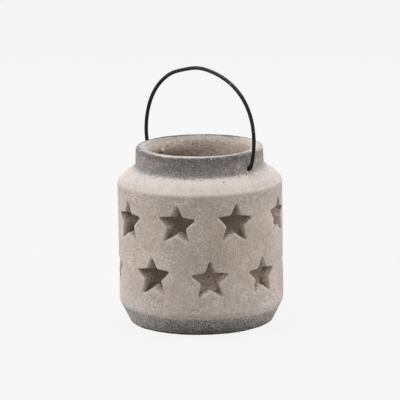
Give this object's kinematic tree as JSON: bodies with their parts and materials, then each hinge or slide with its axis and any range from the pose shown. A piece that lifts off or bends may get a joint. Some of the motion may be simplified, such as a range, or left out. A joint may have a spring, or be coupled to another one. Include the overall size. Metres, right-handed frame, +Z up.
{
  "type": "star lantern",
  "caption": "Thick-walled cast jar lantern for a candle, with staggered rows of star cut-outs, a short open neck and a wire bail that swings over the shoulder.",
  "frame": {"origin": "centre of the flat base, on the surface that the lantern stands on", "axes": "+Z up along the jar's axis, X along the bail's hinge through the two holes in the neck, Y across the bail"},
  "size_m": [0.14, 0.14, 0.2195],
  "materials": {
    "cement": "sandy matt cement with a dark grey wash on the neck and the base",
    "black_wire": "satin black"
  },
  "bodies": {
    "jar": {"cast_jar": "cement"},
    "bail": {"wire_bail": "black_wire"}
  },
  "joints": [
    {"name": "bail_swing", "type": "hinge", "parent": "jar", "child": "bail", "pos_m": [0, 0, 0.137], "axis": [1, 0, 0], "range_deg": [-105, 105]}
  ]
}
